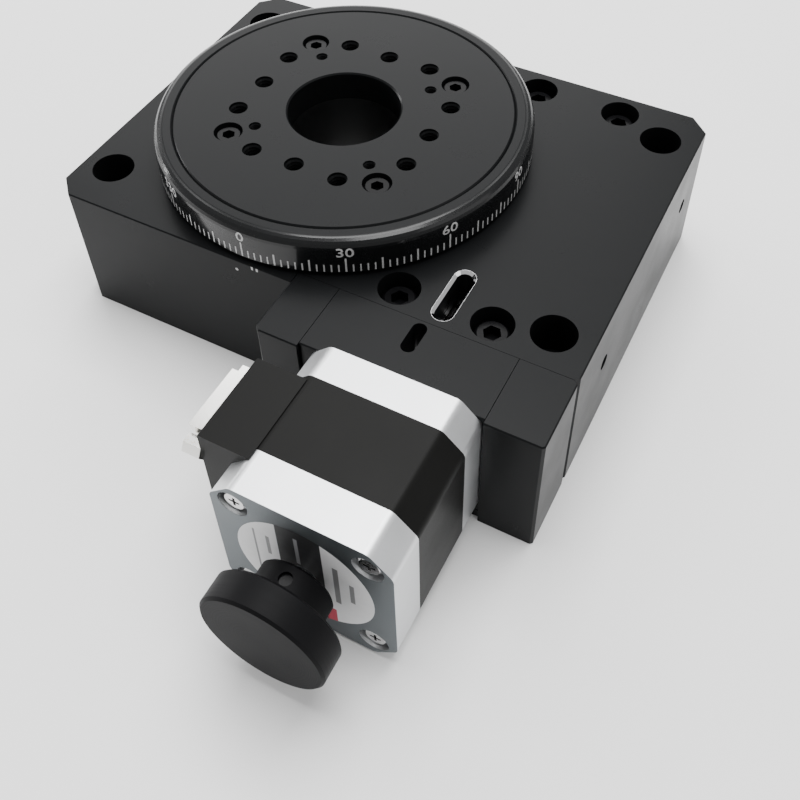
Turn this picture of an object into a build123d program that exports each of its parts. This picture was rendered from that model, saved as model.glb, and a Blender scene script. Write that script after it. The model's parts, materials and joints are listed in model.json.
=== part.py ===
from build123d import *
import math
import os

# Motorised worm-gear rotation stage, in millimetres.
# The origin is on the table's axis at the underside of the base, with +Z up.
# The worm and the motor lie along Y at +X, and the motor stands out at -Y.

# ---------------------------------------------------------------- base sizes
BASE_LEFT = -58.5
BASE_RIGHT = 85.5
BASE_HALF_DEPTH = 51.0
BASE_HEIGHT = 39.5
CORNER_CHAMFER = 5.0
EDGE_BREAK = 0.3
SEAM_BREAK = 1.0
SEAM_Y = -47.6
SEAM_GAP = 0.1
FRAME_LEFT = 14.0
FRAME_FRONT_Y = -67.0

MOUNT_SPACING_X = 125.0
MOUNT_SPACING_Y = 75.0
MOUNT_CENTRE_X = 13.0
MOUNT_HEAD_RADIUS = 5.5
MOUNT_HOLE_RADIUS = 3.3
MOUNT_FLOOR = 27.0

# ------------------------------------------------ screw holes and close fits
FIT_GAP = 0.02
M3_THREAD_RADIUS = 1.52
M3_CLEAR_RADIUS = 1.65
M3_HEAD_RADIUS = 2.85
M4_THREAD_RADIUS = 2.02
M4_CLEAR_RADIUS = 2.15
M4_HEAD_HOLE_RADIUS = 3.75
M5_THREAD_RADIUS = 2.52
M5_CLEAR_RADIUS = 2.7

# --------------------------------------------------------------- table sizes
TABLE_TOP = 50.5
TABLE_RADIUS = 44.9
PLATE_THICKNESS = 8.5
RING_RADIUS = 50.0
RING_INNER_RADIUS = 45.0
RING_SHELF_RADIUS = 40.0
RING_BOTTOM = 40.3
RING_ROUNDING = 2.6
APERTURE_RADIUS = 15.0
GRID_PITCH = 12.5
GRID_HOLE_RADIUS = 2.5
TABLE_SCREW_OFFSET = 21.85
SMALL_HOLE_OFFSET = 16.9
SMALL_HOLE_RADIUS = 1.6

# --------------------------------------------------- main bearing and the hub
BEARING_BOTTOM = 29.5
BEARING_TOP = 36.5
INNER_RACE_IN = 26.0
INNER_RACE_OUT = 30.2
OUTER_RACE_IN = 33.8
OUTER_RACE_OUT = 38.0
ROLLER_CIRCLE = 32.0
ROLLER_RADIUS = 2.0
ROLLER_LENGTH = 3.6
ROLLER_COUNT = 16
ROLLER_TILT = 45.0
ROLLER_PLAY = 0.06
CLAMP_RING_RADIUS = 43.0
CLAMP_RING_TOP = 38.8
HUB_SPIGOT_RADIUS = 20.0

# ------------------------------------------------------------ worm and wheel
MODULE = 1.0
WHEEL_TEETH = 90
WORM_AXIS_X = 50.0
WORM_AXIS_Z = 22.0
WORM_PITCH_RADIUS = 5.0
WHEEL_PITCH_RADIUS = MODULE * WHEEL_TEETH / 2
WHEEL_BOTTOM = 18.0
WHEEL_TOP = 26.0
TOOTH_THICKNESS = 1.15
PRESSURE_ANGLE = 20.0
WORM_LEAD = math.pi * MODULE
WORM_TURNS = 4
HOME_RADIUS = 34.0
LEAD_ANGLE = math.degrees(math.atan(WORM_LEAD / (2 * math.pi * WORM_PITCH_RADIUS)))

# ------------------------------------------------------------- motor, NEMA 17
MOTOR_WIDTH = 42.3
MOTOR_LENGTH = 40.0
MOTOR_CHAMFER = 5.4
MOTOR_ROUNDING = 2.5
MOTOR_SCREW_SPACING = 31.0
MOTOR_FACE_Y = -66.0
FRONT_CAP_LENGTH = 8.7
REAR_CAP_LENGTH = 10.3
SHAFT_RADIUS = 2.5
PILOT_RADIUS = 11.0

# ---------------------------------------------------------------- worm carrier
HEAD_LEFT = 25.6
HEAD_RIGHT = 71.4
HEAD_BOTTOM = 3.0
CARRIER_BOTTOM = 8.0
CARRIER_TOP = 29.0
CARRIER_HUMP_TOP = 32.5
CARRIER_HUMP_HALF_WIDTH = 5.8
CARRIER_END_Y = 48.0
CARRIER_HALF_WIDTH = 10.0
CARRIER_EAR_HALF_WIDTH = 15.6
CARRIER_FRONT_EAR_Y = -35.0
CARRIER_REAR_EAR_Y = 36.0
CARRIER_NECK_Y = -28.0
CARRIER_NECK_HALF_WIDTH = 11.5
CHANNEL_GAP = 0.3
CARRIER_SCREW_X = 12.0
CARRIER_SCREW_FRONT_Y = -41.2
CARRIER_SCREW_REAR_Y = 43.4
CARRIER_SCREW_SEAT = 31.2
COUPLING_BORE_RADIUS = 8.6
COUPLING_RADIUS = 7.8
COUPLING_FRONT_Y = -57.0
COUPLING_REAR_Y = -33.0
WORM_CAVITY_RADIUS = 6.2
WORM_BEARING_RADIUS = 6.5
WORM_BEARING_BORE = 3.0
WORM_BEARING_WIDTH = 5.0
FRONT_BEARING_Y = -31.0
REAR_BEARING_Y = 36.0

# --------------------------------------------------------------- connector box
BOX_LEFT = 21.5
BOX_FRONT_Y = -98.5
BOX_BACK_Y = -76.0
BOX_BOTTOM = 22.0
CONNECTOR_Z = 36.0

# ------------------------------------------------------------------------ knob
KNOB_RADIUS = 14.6
KNOB_FRONT_Y = -123.0
KNOB_REAR_Y = -115.6
KNOB_HUB_RADIUS = 8.5
KNOB_HUB_Y = -108.4

COVER_THICKNESS = 3.5
COVER_GAP = 0.2
COVER_RADIUS = 49.0
COVER_HOLE_RADIUS = 16.0
POCKET_RADIUS = 47.5
POCKET_TOP = 26.8

MOTOR_REAR_Y = MOTOR_FACE_Y - MOTOR_LENGTH
MOTOR_BOTTOM = WORM_AXIS_Z - MOTOR_WIDTH / 2
MOTOR_TOP = WORM_AXIS_Z + MOTOR_WIDTH / 2
STATOR_FRONT_Y = MOTOR_FACE_Y - FRONT_CAP_LENGTH
STATOR_REAR_Y = MOTOR_REAR_Y + REAR_CAP_LENGTH

os.makedirs("parts", exist_ok=True)


def save(builder, name):
    """Label a finished piece and write its STEP file."""
    builder.part.label = name
    export_step(builder.part, f"parts/{name}.step")


def flat(z):
    """Horizontal plane at height z."""
    return Plane.XY.offset(z)


def across(y):
    """Plane square to the worm's axis at y, with local X along -X and local Y along +Z."""
    return Plane(origin=(WORM_AXIS_X, y, WORM_AXIS_Z), x_dir=(-1, 0, 0), z_dir=(0, 1, 0))


def disc(radius, bottom, top, inner=0.0, mode=Mode.ADD):
    """Add or take away an upright disc or ring on the table's axis."""
    centre = Pos(0, 0, (bottom + top) / 2)
    solid = centre * Cylinder(radius, top - bottom, mode=Mode.PRIVATE)
    if inner:
        solid -= centre * Cylinder(inner, top - bottom, mode=Mode.PRIVATE)
    add(solid, mode=mode)


def roller(radius, start, end, inner=0.0, mode=Mode.ADD):
    """Add or take away a disc or ring on the worm's axis, from y = start to y = end."""
    centre = Location((WORM_AXIS_X, (start + end) / 2, WORM_AXIS_Z), (90, 0, 0))
    solid = centre * Cylinder(radius, end - start, mode=Mode.PRIVATE)
    if inner:
        solid -= centre * Cylinder(inner, end - start, mode=Mode.PRIVATE)
    add(solid, mode=mode)


def block(x_range, y_range, z_range, mode=Mode.ADD):
    """Add or take away a box given by its extents."""
    spans = [high - low for low, high in (x_range, y_range, z_range)]
    middle = Pos(*[(low + high) / 2 for low, high in (x_range, y_range, z_range)])
    add(middle * Box(*spans, mode=Mode.PRIVATE), mode=mode)


def slot_outline(place, width):
    """Sketch a round-ended slot that runs along Y; place is (x, back y, front y)."""
    x, back, front = place
    with Locations((x, (back + front) / 2)):
        SlotOverall(back - front, width, rotation=90)


def cap_screw(head_radius, head_height, shank_radius, length, socket=0.0):
    """Socket-head screw along Z, with its seat at z = 0 and its shank below."""
    with BuildPart() as screw:
        with BuildSketch(flat(-length)):
            Circle(shank_radius)
        extrude(amount=length)
        with BuildSketch(flat(0)):
            Circle(head_radius)
        extrude(amount=head_height)
        chamfer(screw.edges().filter_by(GeomType.CIRCLE).group_by(Axis.Z)[-1], head_radius / 6)
        if socket:
            with BuildSketch(flat(head_height)):
                RegularPolygon(socket / 2, 6, major_radius=False)
            extrude(amount=-head_height * 0.6, mode=Mode.SUBTRACT)
    return screw.part


def flat_screw(head_radius, shank_radius, length, socket=0.0):
    """Countersunk screw along Z, with the top of its head at z = 0."""
    depth = head_radius - shank_radius
    with BuildPart() as screw:
        with BuildSketch(Plane.XZ):
            with BuildLine():
                Polyline(
                    (0, 0),
                    (head_radius, 0),
                    (shank_radius, -depth),
                    (shank_radius, -length),
                    (0, -length),
                    close=True,
                )
            make_face()
        revolve(axis=Axis.Z)
        if socket:
            with BuildSketch(flat(0)):
                RegularPolygon(socket / 2, 6, major_radius=False)
            extrude(amount=-depth * 0.7, mode=Mode.SUBTRACT)
    return screw.part


def upward(places, z):
    """Locations that turn a downward screw so that it points up, at the given plan places."""
    return [Location((x, y, z), (180, 0, 0)) for x, y in places]


def around(radius, count, start=0.0):
    """Plan places on a circle about the table's axis."""
    turn = 2 * math.pi / count
    first = math.radians(start)
    return [
        (radius * math.cos(first + i * turn), radius * math.sin(first + i * turn))
        for i in range(count)
    ]


def countersinks(places, z, shank, head, depth):
    """Take away screw holes from height z on; they go up, or down for a negative depth."""
    way = 1 if depth > 0 else -1
    cone = head - shank
    turn = (0, 0, 0) if depth > 0 else (180, 0, 0)
    with Locations([(x, y, z + depth / 2) for x, y in places]):
        Cylinder(shank, abs(depth), mode=Mode.SUBTRACT)
    middle = z + way * cone / 2
    with Locations([Location((x, y, middle), turn) for x, y in places]):
        Cone(head, shank, cone, mode=Mode.SUBTRACT)


def carrier_outline(gap):
    """Closed plan outline of the carrier's body, grown by gap on every side."""
    ear = CARRIER_EAR_HALF_WIDTH + gap
    waist = CARRIER_HALF_WIDTH + gap
    neck = CARRIER_NECK_HALF_WIDTH + gap
    right = [
        (ear, SEAM_Y - SEAM_GAP),
        (ear, CARRIER_FRONT_EAR_Y + gap),
        (neck, CARRIER_FRONT_EAR_Y + gap),
        (neck, CARRIER_NECK_Y + gap),
        (waist, CARRIER_NECK_Y + gap),
        (waist, CARRIER_REAR_EAR_Y - gap),
        (ear, CARRIER_REAR_EAR_Y - gap),
        (ear, CARRIER_END_Y + gap),
    ]
    left = [(-x, y) for x, y in reversed(right)]
    return [(WORM_AXIS_X + x, y) for x, y in right + left]


carrier_screw_places = [
    (WORM_AXIS_X + side * CARRIER_SCREW_X, y)
    for y in (CARRIER_SCREW_FRONT_Y, CARRIER_SCREW_REAR_Y)
    for side in (-1, 1)
]
mount_places = [
    (MOUNT_CENTRE_X + sx * MOUNT_SPACING_X / 2, sy * MOUNT_SPACING_Y / 2)
    for sx in (-1, 1)
    for sy in (-1, 1)
]
motor_screw_places = [
    (sx * MOTOR_SCREW_SPACING / 2, sz * MOTOR_SCREW_SPACING / 2)
    for sx in (-1, 1)
    for sz in (-1, 1)
]

# ------------------------------------------------------------------ base block
TONGUE_LEFT = 19.0
TONGUE_RIGHT = 73.0
TONGUE_BACK_Y = -41.0
TONGUE_TOP = 4.0
CAP_HOLE_RADIUS = 5.2
SLOT_WIDTH = 4.2
SLOT_BEVEL = 0.7
REAR_SLOT = (50.4, -29.4, -45.2)
FRONT_SLOT_WIDTH = 3.6
FRONT_SLOT = (47.9, -48.4, -57.4)
SIDE_HOLE_PLACES = (-27.1, 33.4)
SIDE_HOLE_RADIUS = 2.1
SIDE_HOLE_DEPTH = 6.0
SIDE_HOLE_Z = 23.0
CLAMP_SCREW_CIRCLE = 40.5
CLAMP_SCREW_COUNT = 4
COVER_SCREW_RADIUS = 1.25
COVER_TAB = 36.4
COVER_TAB_RADIUS = 4.2
COVER_RIGHT = 72.5
COVER_BACK_Y = 49.3
COVER_FRONT_Y = -40.6
cover_screw_places = [(-COVER_TAB, COVER_TAB), (-COVER_TAB, -COVER_TAB), (69.3, 3.0)]
frame_screw_places = [(25.0, -45.0), (31.2, -44.6), (69.6, -44.6)]
clamp_screw_places = around(CLAMP_SCREW_CIRCLE, CLAMP_SCREW_COUNT, 45)


def cover_outline(gap):
    """Sketch of the bottom cover, grown by gap on every side."""
    Circle(COVER_RADIUS + gap)
    with Locations(((33 + COVER_RIGHT) / 2, (COVER_FRONT_Y + COVER_BACK_Y) / 2)):
        Rectangle(COVER_RIGHT - 33 + 2 * gap, COVER_BACK_Y - COVER_FRONT_Y + 2 * gap)
    with Locations(cover_screw_places[:2]):
        Circle(COVER_TAB_RADIUS + gap)


with BuildPart() as base_block:
    with BuildSketch(flat(0)):
        with BuildLine():
            Polyline(
                (BASE_LEFT, -BASE_HALF_DEPTH),
                (FRAME_LEFT - SEAM_GAP, -BASE_HALF_DEPTH),
                (FRAME_LEFT - SEAM_GAP, SEAM_Y),
                (BASE_RIGHT, SEAM_Y),
                (BASE_RIGHT, BASE_HALF_DEPTH),
                (BASE_LEFT, BASE_HALF_DEPTH),
                close=True,
            )
        make_face()
    extrude(amount=BASE_HEIGHT)
    left_edges = base_block.edges().filter_by(Axis.Z).group_by(Axis.X)[0]
    right_edges = base_block.edges().filter_by(Axis.Z).group_by(Axis.X)[-1].sort_by(Axis.Y)
    chamfer(left_edges + [right_edges[-1]], CORNER_CHAMFER)
    front_edge = base_block.edges().filter_by(Axis.Z).group_by(Axis.X)[-1].sort_by(Axis.Y)[0]
    chamfer(front_edge, SEAM_BREAK)
    top_edges = base_block.faces().sort_by(Axis.Z)[-1].outer_wire().edges()
    chamfer([edge for edge in top_edges if abs(edge.center().Y - SEAM_Y) > SEAM_BREAK], EDGE_BREAK)
    # wheel pocket, bearing ledge, bearing bore and clamp ring seat
    disc(POCKET_RADIUS, 0, POCKET_TOP, mode=Mode.SUBTRACT)
    disc(OUTER_RACE_IN + 0.7, POCKET_TOP, BASE_HEIGHT, mode=Mode.SUBTRACT)
    disc(OUTER_RACE_OUT + FIT_GAP, BEARING_BOTTOM, BASE_HEIGHT, mode=Mode.SUBTRACT)
    disc(CLAMP_RING_RADIUS + 0.05, BEARING_TOP, BASE_HEIGHT, mode=Mode.SUBTRACT)
    # channel of the worm carrier with the higher part over the coupling
    with BuildSketch(flat(0)):
        with BuildLine():
            Polyline(*carrier_outline(CHANNEL_GAP), close=True)
        make_face()
    extrude(amount=CARRIER_TOP + CHANNEL_GAP, mode=Mode.SUBTRACT)
    hump = CARRIER_HUMP_HALF_WIDTH + CHANNEL_GAP
    block(
        (WORM_AXIS_X - hump, WORM_AXIS_X + hump),
        (SEAM_Y - SEAM_GAP, CARRIER_NECK_Y + CHANNEL_GAP),
        (CARRIER_TOP, CARRIER_HUMP_TOP + CHANNEL_GAP),
        mode=Mode.SUBTRACT,
    )
    # recesses under the block for the cover and for the front frame's tongue
    with BuildSketch(flat(0)):
        cover_outline(COVER_GAP)
    extrude(amount=COVER_THICKNESS, mode=Mode.SUBTRACT)
    block(
        (TONGUE_LEFT - COVER_GAP, TONGUE_RIGHT + COVER_GAP),
        (SEAM_Y - 1, TONGUE_BACK_Y + COVER_GAP),
        (0, TONGUE_TOP),
        mode=Mode.SUBTRACT,
    )
    # mounting holes, carrier screw holes, bevelled slot over the coupling, threaded side holes
    with Locations([(x, y, BASE_HEIGHT) for x, y in mount_places]):
        CounterBoreHole(MOUNT_HOLE_RADIUS, MOUNT_HEAD_RADIUS, BASE_HEIGHT - MOUNT_FLOOR)
    with Locations([(x, y, BASE_HEIGHT) for x, y in carrier_screw_places]):
        CounterBoreHole(M5_CLEAR_RADIUS, CAP_HOLE_RADIUS, BASE_HEIGHT - CARRIER_SCREW_SEAT, BASE_HEIGHT - 20)
    with BuildSketch(flat(CARRIER_HUMP_TOP)):
        slot_outline(REAR_SLOT, SLOT_WIDTH)
    extrude(amount=BASE_HEIGHT - CARRIER_HUMP_TOP, mode=Mode.SUBTRACT)
    with BuildSketch(flat(BASE_HEIGHT)):
        x, back, front = REAR_SLOT
        slot_outline((x, back + SLOT_BEVEL, front - SLOT_BEVEL), SLOT_WIDTH + 2 * SLOT_BEVEL)
    extrude(amount=-SLOT_BEVEL, taper=45, mode=Mode.SUBTRACT)
    side = Plane(origin=(BASE_RIGHT, 0, SIDE_HOLE_Z), x_dir=(0, 1, 0), z_dir=(1, 0, 0))
    with BuildSketch(side):
        with Locations([(y, 0) for y in SIDE_HOLE_PLACES]):
            Circle(SIDE_HOLE_RADIUS)
    extrude(amount=-SIDE_HOLE_DEPTH, mode=Mode.SUBTRACT)
    # threads for the cover, the front frame and the bearing clamp ring
    with BuildSketch(flat(COVER_THICKNESS)):
        with Locations(cover_screw_places):
            Circle(COVER_SCREW_RADIUS + FIT_GAP)
    extrude(amount=7.5, mode=Mode.SUBTRACT)
    with BuildSketch(flat(TONGUE_TOP)):
        with Locations(frame_screw_places):
            Circle(M3_THREAD_RADIUS)
    extrude(amount=7, mode=Mode.SUBTRACT)
    with BuildSketch(flat(BEARING_TOP)):
        with Locations(clamp_screw_places):
            Circle(COVER_SCREW_RADIUS + FIT_GAP)
    extrude(amount=-5, mode=Mode.SUBTRACT)
save(base_block, "base_block")

# ----------------------------------------------------------------- front frame
CHEEK_GAP = 0.15
BRIDGE_TOP = 2.6
with BuildPart() as front_frame:
    block((FRAME_LEFT, BASE_RIGHT), (FRAME_FRONT_Y, SEAM_Y - SEAM_GAP), (0, BASE_HEIGHT))
    front_uprights = front_frame.edges().filter_by(Axis.Z).group_by(Axis.Y)[0].sort_by(Axis.X)
    chamfer(front_uprights[0], 1.2)
    front_right = front_frame.edges().filter_by(Axis.Z).group_by(Axis.Y)[0].sort_by(Axis.X)[-1]
    chamfer(front_right, 0.6)
    back_right = front_frame.edges().filter_by(Axis.Z).group_by(Axis.Y)[-1].sort_by(Axis.X)[-1]
    chamfer(back_right, SEAM_BREAK)
    top_edges = front_frame.faces().sort_by(Axis.Z)[-1].outer_wire().edges()
    chamfer([edge for edge in top_edges if edge.center().Y < SEAM_Y - SEAM_BREAK], EDGE_BREAK)
    block(
        (HEAD_LEFT - CHEEK_GAP, HEAD_RIGHT + CHEEK_GAP),
        (FRAME_FRONT_Y - 1, SEAM_Y),
        (BRIDGE_TOP, BASE_HEIGHT),
        mode=Mode.SUBTRACT,
    )
    block((TONGUE_LEFT, TONGUE_RIGHT), (SEAM_Y - 2, TONGUE_BACK_Y), (0, TONGUE_TOP))
    block(
        (HEAD_LEFT - CHEEK_GAP, HEAD_RIGHT + CHEEK_GAP),
        (FRAME_FRONT_Y - 1, SEAM_Y),
        (BRIDGE_TOP, BASE_HEIGHT),
        mode=Mode.SUBTRACT,
    )
    block(
        (HEAD_LEFT - CHEEK_GAP, HEAD_RIGHT + CHEEK_GAP),
        (FRAME_FRONT_Y - 1, MOTOR_FACE_Y),
        (0, BASE_HEIGHT),
        mode=Mode.SUBTRACT,
    )
    countersinks(frame_screw_places, 0, M3_CLEAR_RADIUS, 2.9, TONGUE_TOP)
save(front_frame, "front_frame")

frame_screw = flat_screw(2.85, 1.5, 10, 2.0)
with BuildPart() as front_frame_screws:
    with Locations(upward(frame_screw_places, 0)):
        add(frame_screw)
save(front_frame_screws, "front_frame_screws")

# ---------------------------------------------------------------- bottom cover
with BuildPart() as bottom_cover:
    with BuildSketch(flat(0)):
        cover_outline(0)
        Circle(COVER_HOLE_RADIUS, mode=Mode.SUBTRACT)
        with Locations(((TONGUE_LEFT + TONGUE_RIGHT) / 2, TONGUE_BACK_Y - 10 + COVER_GAP)):
            Rectangle(TONGUE_RIGHT - TONGUE_LEFT + 1, 20, mode=Mode.SUBTRACT)
    extrude(amount=COVER_THICKNESS)
    countersinks(cover_screw_places, 0, 1.4, 2.45, COVER_THICKNESS)
save(bottom_cover, "bottom_cover")

cover_screw = flat_screw(2.4, COVER_SCREW_RADIUS, 10, 1.6)
with BuildPart() as bottom_cover_screws:
    with Locations(upward(cover_screw_places, 0)):
        add(cover_screw)
save(bottom_cover_screws, "bottom_cover_screws")

# ---------------------------------------------------------------- worm carrier
with BuildPart() as worm_carrier:
    with BuildSketch(flat(CARRIER_BOTTOM)):
        with BuildLine():
            Polyline(*carrier_outline(0), close=True)
        make_face()
    extrude(amount=CARRIER_TOP - CARRIER_BOTTOM)
    block(
        (WORM_AXIS_X - CARRIER_HUMP_HALF_WIDTH, WORM_AXIS_X + CARRIER_HUMP_HALF_WIDTH),
        (SEAM_Y - SEAM_GAP - 1, CARRIER_NECK_Y),
        (CARRIER_BOTTOM, CARRIER_HUMP_TOP),
    )
    block((HEAD_LEFT, HEAD_RIGHT), (MOTOR_FACE_Y, SEAM_Y - SEAM_GAP), (HEAD_BOTTOM, BASE_HEIGHT))
    head_front = worm_carrier.faces().sort_by(Axis.Y)[0]
    chamfer(head_front.edges().sort_by(Axis.Z)[-1], EDGE_BREAK)
    roller(COUPLING_BORE_RADIUS, MOTOR_FACE_Y, FRONT_BEARING_Y, mode=Mode.SUBTRACT)
    roller(PILOT_RADIUS + 0.05, MOTOR_FACE_Y, MOTOR_FACE_Y + 2.2, mode=Mode.SUBTRACT)
    roller(WORM_BEARING_RADIUS + FIT_GAP, FRONT_BEARING_Y, FRONT_BEARING_Y + WORM_BEARING_WIDTH,
           mode=Mode.SUBTRACT)
    roller(WORM_CAVITY_RADIUS, FRONT_BEARING_Y, CARRIER_END_Y, mode=Mode.SUBTRACT)
    roller(WORM_BEARING_RADIUS + FIT_GAP, REAR_BEARING_Y, CARRIER_END_Y, mode=Mode.SUBTRACT)
    disc(WHEEL_PITCH_RADIUS + 1.7, WHEEL_BOTTOM - 0.6, WHEEL_TOP + 0.6, mode=Mode.SUBTRACT)
    with BuildSketch(flat(WORM_AXIS_Z + 5)):
        slot_outline(FRONT_SLOT, FRONT_SLOT_WIDTH)
        slot_outline(REAR_SLOT, SLOT_WIDTH)
    extrude(amount=BASE_HEIGHT - WORM_AXIS_Z - 5, mode=Mode.SUBTRACT)
    with Locations([(x, y, CARRIER_TOP) for x, y in carrier_screw_places]):
        Hole(M5_THREAD_RADIUS, depth=10)
    with BuildSketch(across(MOTOR_FACE_Y)):
        with Locations(motor_screw_places):
            Circle(M3_THREAD_RADIUS)
    extrude(amount=6.5, mode=Mode.SUBTRACT)
save(worm_carrier, "worm_carrier")

carrier_screw = cap_screw(4.25, 5.0, 2.5, 9.5, 4.0)
with BuildPart() as carrier_screws:
    with Locations([(x, y, CARRIER_SCREW_SEAT) for x, y in carrier_screw_places]):
        add(carrier_screw)
save(carrier_screws, "carrier_screws")

# ---------------------------------------------------------------- main bearing
race_middle = (BEARING_BOTTOM + BEARING_TOP) / 2
channel_side = 2 * (ROLLER_RADIUS + ROLLER_PLAY)

with BuildPart() as race_channel:
    with BuildSketch(Plane.XZ):
        with Locations((ROLLER_CIRCLE, race_middle)):
            Rectangle(channel_side, channel_side, rotation=ROLLER_TILT)
    revolve(axis=Axis.Z)

with BuildPart() as outer_race:
    disc(OUTER_RACE_OUT, BEARING_BOTTOM, BEARING_TOP, OUTER_RACE_IN)
    add(race_channel.part, mode=Mode.SUBTRACT)
save(outer_race, "outer_race")

with BuildPart() as inner_race:
    disc(INNER_RACE_OUT, BEARING_BOTTOM, BEARING_TOP, INNER_RACE_IN + FIT_GAP)
    add(race_channel.part, mode=Mode.SUBTRACT)
save(inner_race, "inner_race")

# every second roller leans the other way, so that the bearing carries load both ways
with BuildPart() as bearing_rollers:
    for index in range(ROLLER_COUNT):
        lean = ROLLER_TILT if index % 2 else 180 - ROLLER_TILT
        turn = Rot(0, 0, 360 / ROLLER_COUNT * index)
        with Locations(turn * Location((ROLLER_CIRCLE, 0, race_middle), (0, lean, 0))):
            Cylinder(ROLLER_RADIUS, ROLLER_LENGTH)
save(bearing_rollers, "bearing_rollers")

with BuildPart() as bearing_clamp_ring:
    disc(CLAMP_RING_RADIUS, BEARING_TOP, CLAMP_RING_TOP, OUTER_RACE_IN + 0.4)
    countersinks(clamp_screw_places, CLAMP_RING_TOP, 1.35, 2.4, BEARING_TOP - CLAMP_RING_TOP)
save(bearing_clamp_ring, "bearing_clamp_ring")

clamp_screw = flat_screw(2.3, COVER_SCREW_RADIUS, 6)
with BuildPart() as clamp_ring_screws:
    with Locations([(x, y, CLAMP_RING_TOP) for x, y in clamp_screw_places]):
        add(clamp_screw)
save(clamp_ring_screws, "clamp_ring_screws")

# ----------------------------------------------------------------- rotary table
SMALL_SCREW_HOLE = 1.6
table_screw_places = [
    (sx * TABLE_SCREW_OFFSET, sy * TABLE_SCREW_OFFSET) for sx in (-1, 1) for sy in (-1, 1)
]
small_hole_places = [
    (sx * SMALL_HOLE_OFFSET, sy * SMALL_HOLE_OFFSET) for sx in (-1, 1) for sy in (-1, 1)
]
grid_places = [(2 * GRID_PITCH * sx, GRID_PITCH * sy) for sx in (-1, 1) for sy in (-1, 0, 1)]
grid_places += [(GRID_PITCH * sx, 2 * GRID_PITCH * sy) for sx in (-1, 0, 1) for sy in (-1, 1)]
PLATE_BOTTOM = TABLE_TOP - PLATE_THICKNESS
TABLE_SCREW_SEAT = 46.0
RING_ROUNDING_STEPS = 5

with BuildPart() as table_plate:
    disc(TABLE_RADIUS, PLATE_BOTTOM, TABLE_TOP, APERTURE_RADIUS)
    chamfer(table_plate.edges().filter_by(GeomType.CIRCLE).group_by(Axis.Z)[-1], 0.4)
    with Locations([(x, y, TABLE_TOP) for x, y in grid_places]):
        Hole(GRID_HOLE_RADIUS, depth=PLATE_THICKNESS)
    with Locations([(x, y, TABLE_TOP) for x, y in small_hole_places]):
        Hole(SMALL_SCREW_HOLE, depth=PLATE_THICKNESS)
    with Locations([(x, y, TABLE_TOP) for x, y in table_screw_places]):
        CounterBoreHole(M4_CLEAR_RADIUS, M4_HEAD_HOLE_RADIUS, TABLE_TOP - TABLE_SCREW_SEAT)
save(table_plate, "table_plate")

quarter = [math.pi / 2 * step / RING_ROUNDING_STEPS for step in range(RING_ROUNDING_STEPS + 1)]
ring_shoulder = [
    (
        RING_RADIUS - RING_ROUNDING * (1 - math.cos(turn)),
        TABLE_TOP - RING_ROUNDING * (1 - math.sin(turn)),
    )
    for turn in quarter
]

with BuildPart() as scale_ring:
    with BuildSketch(Plane.XZ):
        with BuildLine():
            Polyline(
                (RING_SHELF_RADIUS, RING_BOTTOM),
                (RING_RADIUS - 0.4, RING_BOTTOM),
                (RING_RADIUS, RING_BOTTOM + 0.4),
                *ring_shoulder,
                (RING_INNER_RADIUS + 0.4, TABLE_TOP),
                (RING_INNER_RADIUS, TABLE_TOP - 0.4),
                (RING_INNER_RADIUS, PLATE_BOTTOM),
                (RING_SHELF_RADIUS, PLATE_BOTTOM),
                close=True,
            )
        make_face()
    revolve(axis=Axis.Z)
save(scale_ring, "scale_ring")

table_screw = cap_screw(3.5, 3.6, 2.0, 8, 3.0)
with BuildPart() as table_screws:
    with Locations([(x, y, TABLE_SCREW_SEAT) for x, y in table_screw_places]):
        add(table_screw)
save(table_screws, "table_screws")

HUB_TUBE_BOTTOM = 4.2
HUB_SPIGOT_BOTTOM = 16.5
HUB_TUBE_RADIUS = 18.0
HUB_FLANGE_RADIUS = 33.2
WHEEL_SCREW_CIRCLE = 23.0
WHEEL_SCREW_SINK = 3.2
wheel_screw_places = around(WHEEL_SCREW_CIRCLE, 4, 0)
with BuildPart() as table_hub:
    disc(INNER_RACE_IN, WHEEL_TOP, PLATE_BOTTOM)
    disc(INNER_RACE_OUT - 0.4, BEARING_TOP, PLATE_BOTTOM)
    disc(HUB_FLANGE_RADIUS, BEARING_TOP + 0.4, PLATE_BOTTOM)
    disc(HUB_SPIGOT_RADIUS, HUB_SPIGOT_BOTTOM, WHEEL_TOP)
    disc(HUB_TUBE_RADIUS, HUB_TUBE_BOTTOM, WHEEL_TOP)
    disc(APERTURE_RADIUS, HUB_TUBE_BOTTOM, PLATE_BOTTOM, mode=Mode.SUBTRACT)
    with Locations([(x, y, PLATE_BOTTOM) for x, y in table_screw_places]):
        Hole(M4_THREAD_RADIUS, depth=4.8)
    with BuildSketch(flat(WHEEL_TOP)):
        with Locations(wheel_screw_places):
            Circle(M3_THREAD_RADIUS)
    extrude(amount=8, mode=Mode.SUBTRACT)
save(table_hub, "table_hub")

with BuildPart() as race_spacer:
    disc(29.0, WHEEL_TOP, BEARING_BOTTOM, INNER_RACE_IN + FIT_GAP)
save(race_spacer, "race_spacer")

# ------------------------------------------------------------------ worm wheel
slope = math.tan(math.radians(PRESSURE_ANGLE))
wheel_tip = WHEEL_PITCH_RADIUS + MODULE
wheel_root = WHEEL_PITCH_RADIUS - 1.25 * MODULE
face_width = WHEEL_TOP - WHEEL_BOTTOM
tip_half = TOOTH_THICKNESS / 2 - MODULE * slope
foot_half = TOOTH_THICKNESS / 2 + 1.35 * MODULE * slope
lead_slope = math.tan(math.radians(LEAD_ANGLE))
tooth_shift = face_width / 2 * lead_slope

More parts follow.
